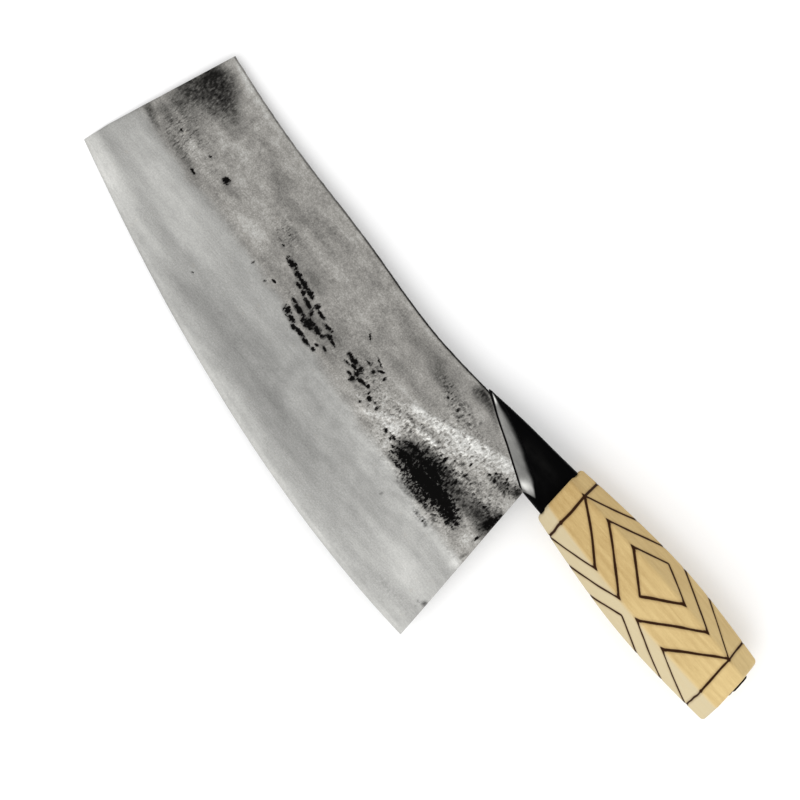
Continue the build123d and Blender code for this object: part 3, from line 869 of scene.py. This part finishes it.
class Paint:
    """One material, and short names for the nodes that it is made of."""

    def __init__(self, name, specular):
        self.material = bpy.data.materials.new(name)
        self.material.use_nodes = True
        self.tree = self.material.node_tree
        self.shader = self.tree.nodes["Principled BSDF"]
        self.shader.inputs["Specular IOR Level"].default_value = specular
        self.normal = None
        back = KNIFE_TURN.transposed()
        self.place = self.output("TexCoord", output="Object")
        self.place = self.output("Mapping", Vector=self.place, Location=back @ KNIFE_ORIGIN * -1000,
                                 Scale=(1000, 1000, 1000), Rotation=back.to_euler())

    def node(self, kind, settings=None, **inputs):
        made = self.tree.nodes.new("ShaderNode" + kind)
        for setting, value in (settings or {}).items():
            setattr(made, setting, value)
        for socket, value in inputs.items():
            self.feed(made.inputs[socket.replace("_", " ")], value)
        return made

    def output(self, kind, settings=None, output=0, **inputs):
        return Value(self, self.node(kind, settings, **inputs).outputs[output])

    def feed(self, socket, value):
        if isinstance(value, Value):
            self.tree.links.new(value.socket, socket)
        else:
            socket.default_value = value

    def math(self, operation, *values, clamp=False):
        made = self.node("Math", {"operation": operation, "use_clamp": clamp})
        for socket, value in zip(made.inputs, values):
            self.feed(socket, value)
        return Value(self, made.outputs[0])

    def smaller(self, a, b):
        return self.math("MINIMUM", a, b)

    def larger(self, a, b):
        return self.math("MAXIMUM", a, b)

    def root(self, a):
        return self.math("SQRT", a)

    def step(self, value, low, high, to_low=0.0, to_high=1.0):
        """A smooth step from to_low, where value is at low, to to_high."""
        return self.output("MapRange", {"interpolation_type": "SMOOTHSTEP"}, Value=value,
                           From_Min=low, From_Max=high, To_Min=to_low, To_Max=to_high)

    def mark(self, name):
        return self.output("Attribute", {"attribute_name": name}, "Fac")

    def grain(self, size, stretch=(1, 1, 1), detail=2.0, rough=0.5):
        """Noise from about -1 to 1 with features of about `size` mm, longer along an axis by `stretch`."""
        scale = tuple(1 / (size * s) for s in stretch)
        place = self.output("Mapping", Vector=self.place, Scale=scale)
        made = self.output("TexNoise", Vector=place, Scale=1.0, Detail=detail, Roughness=rough)
        return self.math("MULTIPLY_ADD", made, 3.0, -1.5)

    def cells(self, width, height):
        """Cells of about width by height mm: the distance from a cell's middle, and its random number."""
        swirl = self.output("TexNoise", output="Color", Vector=self.place, Scale=0.55, Detail=2.0)
        bent = self.node("VectorMath", {"operation": "MULTIPLY_ADD"})
        for socket, value in zip(bent.inputs, (swirl, (3.4, 3.4, 0.0), self.place)):
            self.feed(socket, value)
        place = self.output("Mapping", Vector=Value(self, bent.outputs[0]),
                            Scale=(1 / width, 1 / height, 0))
        made = self.node("TexVoronoi", {"voronoi_dimensions": "2D"}, Vector=place, Scale=1.0)
        return Value(self, made.outputs["Distance"]), Value(self, made.outputs["Color"])

    def blend(self, share, first, second):
        """A mix of two colours, each a Value or a (red, green, blue)."""
        made = self.node("Mix", {"data_type": "RGBA"})
        for index, value in ((0, share), (6, first), (7, second)):
            self.feed(made.inputs[index], (*value, 1.0) if isinstance(value, tuple) else value)
        return Value(self, made.outputs[2])

    def tint(self, brightness, colour):
        """A colour times a brightness that the eye sees as even steps."""
        linear = self.math("POWER", self.larger(brightness, 0.0), 2.2)
        red, green, blue = (linear * part for part in colour)
        return self.output("CombineColor", Red=red, Green=green, Blue=blue)

    def bump(self, height, depth_mm):
        made = self.node("Bump", Strength=1.0, Distance=depth_mm / 1000, Height=height)
        if self.normal is not None:
            self.feed(made.inputs["Normal"], self.normal)
        self.normal = Value(self, made.outputs["Normal"])

    def finish(self, **inputs):
        for socket, value in inputs.items():
            self.feed(self.shader.inputs[socket.replace("_", " ")], value)
        self.feed(self.shader.inputs["Normal"], self.normal)
        return self.material


STEEL_TINT = (1.0, 0.995, 0.955)
FORGED_TINT = (1.0, 0.968, 0.903)
RUSTY_TINT = (1.0, 0.93, 0.82)
FORGE_SCALE = (0.0012, 0.0011, 0.0009)
BLACK_IRON = (0.0007, 0.0007, 0.0008)
RUBBED_AND_SHEEN_GREY = (0.0045, 0.0044, 0.0042)
WOOD_PALE = (0.648, 0.492, 0.234)
WOOD_DARK = (0.415, 0.280, 0.113)
PAINTED_REFLECTION_COLOUR = (0.500, 0.430, 0.280)
WOOD_FLECK = (0.230, 0.130, 0.050)
SCORCHED = (0.14, 0.066, 0.022)
BURNED = (0.025, 0.0080, 0.0014)


def blade_steel():
    """Hand-ground and hammered carbon steel with forge scale left in its low spots, and painted shade in
    its dents and pits.
    """
    paint = Paint("blade_steel", specular=0.04)
    step = paint.step
    tone, scale, stain_and_shade, rough, dent, pocked, forged = (
        paint.mark(name) for name in ("tone", "scale", "stain_and_shade", "rough", "dent", "pocked", "forged"))
    speckle = paint.grain(0.65, detail=3.0, rough=0.7)
    mottle = paint.grain(1.8, detail=3.0, rough=0.6)
    cloudy = paint.grain(6.0, stretch=(1.5, 1, 1), detail=3.0)
    combed = paint.grain(0.70, stretch=(1, 2.6, 2.6), detail=2.0, rough=0.6)
    scratches = paint.grain(0.35, stretch=(14, 1, 1), detail=1.5)

    dents = dent + combed * 1.8 * rough
    middle, chance = paint.cells(1.35, 1.9)
    pock = step(middle + chance * 0.5, 0.72, 0.30) * step(mottle, -0.30, 0.25)
    pocks = pock * pocked
    # A ring round each pit, painted as a highlight below
    rim = step(middle, 0.70, 0.48) * step(middle, 0.22, 0.44) * pocked
    brightness = tone + speckle * (forged * 0.066 + 0.066) + cloudy * 0.030 + scratches * 0.024
    brightness += (mottle + cloudy * 0.5) * forged * 0.065
    # Hammer dents: crowns lighter, bottoms darker; partly rubbing and scale, partly painted shade and
    # highlight
    brightness += step(dents, -0.10, -1.00) * 0.095 + step(dents, 0.10, 1.10) * (stain_and_shade * -0.26 - 0.17)
    # Scale spots darken round themselves; pits get painted shade inside and a painted highlight on their
    # rims
    brightness += step(scale, 0.05, 0.62, 0.0, -0.12) + pocks * (stain_and_shade * -0.26 - 0.26) + rim * 0.06
    worn_and_shade = stain_and_shade + (combed + combed + mottle + mottle) * stain_and_shade * 0.20
    # Darkens the stains, and as painted shadow beside the neck
    grime_and_shade = step(worn_and_shade, 0.05, 1.15)
    brightness *= grime_and_shade * -0.76 + 1.0

    frayed = combed * 0.44 + speckle * 0.36 + mottle * 0.44 + pock * 0.30
    ragged = scale + frayed * step(scale, 0.0, 0.40)
    pitted = step(speckle * 0.55 + combed * 0.35 + forged * 0.10 + rough * 0.22 + stain_and_shade * 0.25, 0.86, 1.10)
    black = paint.larger(step(ragged, 0.44, 0.70), pitted * 0.75)
    warm = forged * step(brightness, 0.74, 0.56)
    bare = paint.blend(warm, paint.tint(brightness, STEEL_TINT), paint.tint(brightness, FORGED_TINT))
    rusty = step(paint.grain(3.0), 0.45, 0.95) * 0.30
    bare = paint.blend(rusty, bare, paint.tint(brightness, RUSTY_TINT))
    dull = grime_and_shade * 0.10 + 0.40 + speckle * 0.04 + forged * 0.06
    paint.bump(scratches, 0.004)
    paint.bump(speckle, 0.014)
    paint.bump((dents + pocks) * -1.0, 0.06)
    return paint.finish(Base_Color=paint.blend(black, bare, FORGE_SCALE), Metallic=black * -0.99 + 1.0,
                        Roughness=paint.math("MULTIPLY_ADD", black, 0.20, dull, clamp=True))


def ground_weld():
    """Weld ground smooth: bare steel that fades into the neck's black skin."""
    paint = Paint("ground_weld", specular=0.025)
    polish = paint.grain(0.30, stretch=(8, 1, 1), detail=2.0)
    speckle = paint.grain(0.6, detail=3.0, rough=0.6)
    # The tone mark carries the weld's painted highlights
    brightness = paint.mark("tone") + polish * 0.014 + speckle * 0.018
    showing = paint.math("MULTIPLY_ADD", speckle, 0.03, paint.mark("bare"), clamp=True)
    paint.bump(polish, 0.004)
    paint.bump(speckle, 0.006)
    return paint.finish(Base_Color=paint.blend(showing, BLACK_IRON, paint.tint(brightness, STEEL_TINT)),
                        Metallic=showing, Roughness=speckle * 0.03 + 0.38)


def black_iron():
    """Forged iron under a thin, slightly glossy black skin with dull and rubbed patches, and a painted grey
    sheen on the neck.
    """
    paint = Paint("black_iron", specular=0.015)
    mottled = paint.grain(4.5, stretch=(1.4, 1, 1), detail=4.0, rough=0.6)
    pebbled = paint.grain(1.1, detail=3.0, rough=0.6)
    rubbed = paint.step(mottled, 0.20, 1.10) * paint.step(pebbled, -0.5, 0.8)
    # Painted sheen on the neck, drawn in the rubbed grey
    sheen_showing = paint.mark("painted_sheen") * paint.step(mottled, -0.9, 0.5)
    paint.bump(mottled, 0.05)
    paint.bump(pebbled, 0.03)
    paint.bump(paint.grain(0.35, detail=2.0), 0.008)
    return paint.finish(Base_Color=paint.blend(paint.larger(rubbed, sheen_showing), BLACK_IRON, RUBBED_AND_SHEEN_GREY),
                        Roughness=mottled * 0.07 + 0.42 + pebbled * 0.04)


def handle_wood():
    """Pale close-grained wood, with its pattern burned in as dark scorched lines."""
    paint = Paint("handle_wood", specular=0.07)
    along, around = paint.mark("along"), paint.mark("around")
    broad = paint.grain(9.0, stretch=(3.5, 1, 1), detail=3.0)
    streaks = paint.grain(1.5, stretch=(14, 1, 1), detail=4.0, rough=0.6)
    fibres = paint.grain(0.32, stretch=(22, 1, 1), detail=3.0, rough=0.6)
    fleck = paint.step(paint.grain(0.55, stretch=(7, 1, 1), detail=2.0), 0.72, 1.05)
    # The yearly rings curve round the tree's heart, which lies outside the handle
    heart = paint.output("Mapping", Vector=paint.place, Location=(0, 70, 24))
    yearly = paint.output("TexWave", {"wave_type": "RINGS", "rings_direction": "X"}, "Fac",
                          Vector=heart, Scale=0.115, Distortion=1.4, Detail=2.0, Detail_Scale=0.35)
    shade = broad * 0.26 + streaks * 0.26 + fibres * 0.22 + along * 0.0047 + yearly * 0.13
    shade = paint.math("ADD", shade + paint.grain(0.55) * 0.12, 0.44, clamp=True)
    # Painted reflection on the facets towards the cutting edge: blended to a pale, greyish colour
    reflection_share = paint.mark("painted_reflection") * paint.math("MULTIPLY_ADD", streaks, 0.12, 0.85, clamp=True)
    wood = paint.blend(reflection_share, paint.blend(shade, WOOD_DARK, WOOD_PALE), PAINTED_REFLECTION_COLOUR)
    wood = paint.blend(fleck * 0.40, wood, WOOD_FLECK)

    wavering = paint.grain(7.0, detail=1.0) * 0.14 + paint.grain(0.6) * 0.05
    from_ridge = paint.smaller(around, around * -1.0 + 1.0)
    knob = paint.step(from_ridge, RIDGE_SHARE, 0.015, 0.0, -0.26)
    nearest = line_distance(along, around, paint.smaller, paint.larger, paint.root)
    edge = nearest + wavering + knob + along * 0.0016
    burned = paint.step(edge, LINE_WIDTH * 0.40, LINE_WIDTH * 0.80, 1.0, 0.0)
    scorched = paint.step(edge, LINE_WIDTH * 0.40, LINE_WIDTH * 2.0, 0.35, 0.0)
    colour = paint.blend(burned, paint.blend(scorched, wood, SCORCHED), BURNED)
    paint.bump(streaks, 0.03)
    paint.bump(fibres, 0.025)
    paint.bump(fleck * -1.0, 0.03)
    paint.bump(burned * -1.0, 0.10)
    return paint.finish(Base_Color=colour, Roughness=fibres * 0.04 + 0.50 + burned * 0.20)


def dress(material, *pieces):
    for piece in pieces:
        bpy.data.objects[piece].data.materials.append(material)


dress(blade_steel(), "blade_plate", "blade_edge")
dress(black_iron(), "neck_forging", "tang_bar")
dress(ground_weld(), "weld_left", "weld_right")
dress(handle_wood(), "handle_barrel")


# ---- Studio: a pale floor, soft light from all round, and a camera looking straight down ----

# How the knife lies in the picture: its axis runs down to the right at this angle
PICTURE_ANGLE = math.radians(49.5)
PICTURE_WIDTH = 0.320
MIDDLE_RIGHT = -0.0637
MIDDLE_UP = 0.03706
CAMERA_DISTANCE = 1.6


def picture_directions():
    """The picture's right and up, level with the floor."""
    along = (KNIFE_TURN @ Vector((1, 0, 0))).to_2d().normalized().to_3d()
    across = Vector((-along.y, along.x, 0))
    right = along * math.cos(PICTURE_ANGLE) + across * math.sin(PICTURE_ANGLE)
    up = across * math.cos(PICTURE_ANGLE) - along * math.sin(PICTURE_ANGLE)
    return right, up


PICTURE_RIGHT, PICTURE_UP = picture_directions()


def camera():
    lens = bpy.data.cameras.new("camera")
    lens.sensor_width = 36
    lens.lens = lens.sensor_width * CAMERA_DISTANCE / PICTURE_WIDTH
    lens.clip_end = 20
    holder = add_object("camera", lens)
    aim = KNIFE_ORIGIN + PICTURE_RIGHT * MIDDLE_RIGHT + PICTURE_UP * MIDDLE_UP
    turn = Matrix((PICTURE_RIGHT, PICTURE_UP, Vector((0, 0, 1)))).transposed().to_4x4()
    holder.matrix_world = Matrix.Translation(aim + Vector((0, 0, CAMERA_DISTANCE))) @ turn
    bpy.context.scene.camera = holder


def softbox(name, towards_right, towards_up, height, size, power):
    """A square area light that faces the knife from above."""
    light = bpy.data.lights.new(name, "AREA")
    light.size = size
    light.energy = power
    holder = add_object(name, light)
    place = PICTURE_RIGHT * towards_right + PICTURE_UP * towards_up + Vector((0, 0, height))
    holder.matrix_world = Matrix.Translation(place) @ place.to_track_quat("Z", "Y").to_matrix().to_4x4()
    holder.visible_camera = False


def floor():
    half = 6.0
    corners = [(-half, -half, 0), (half, -half, 0), (half, half, 0), (-half, half, 0)]
    mesh = bpy.data.meshes.new("floor")
    mesh.from_pydata(corners, [], [(0, 1, 2, 3)])
    white = bpy.data.materials.new("floor_white")
    white.use_nodes = True
    look = {"Base Color": (0.84, 0.84, 0.84, 1), "Roughness": 0.9, "Specular IOR Level": 0.1,
            "Emission Color": (1, 1, 1, 1), "Emission Strength": 0.13}
    for socket, value in look.items():
        white.node_tree.nodes["Principled BSDF"].inputs[socket].default_value = value
    mesh.materials.append(white)
    add_object("floor", mesh)


def surroundings():
    world = bpy.data.worlds.new("studio")
    world.use_nodes = True
    background = world.node_tree.nodes["Background"]
    background.inputs["Color"].default_value = (1, 1, 1, 1)
    background.inputs["Strength"].default_value = 0.95
    bpy.context.scene.world = world
    bpy.context.scene.view_settings.view_transform = "Standard"


floor()
surroundings()
softbox("key", towards_right=-0.77, towards_up=-1.25, height=1.6, size=2.4, power=30)

camera()
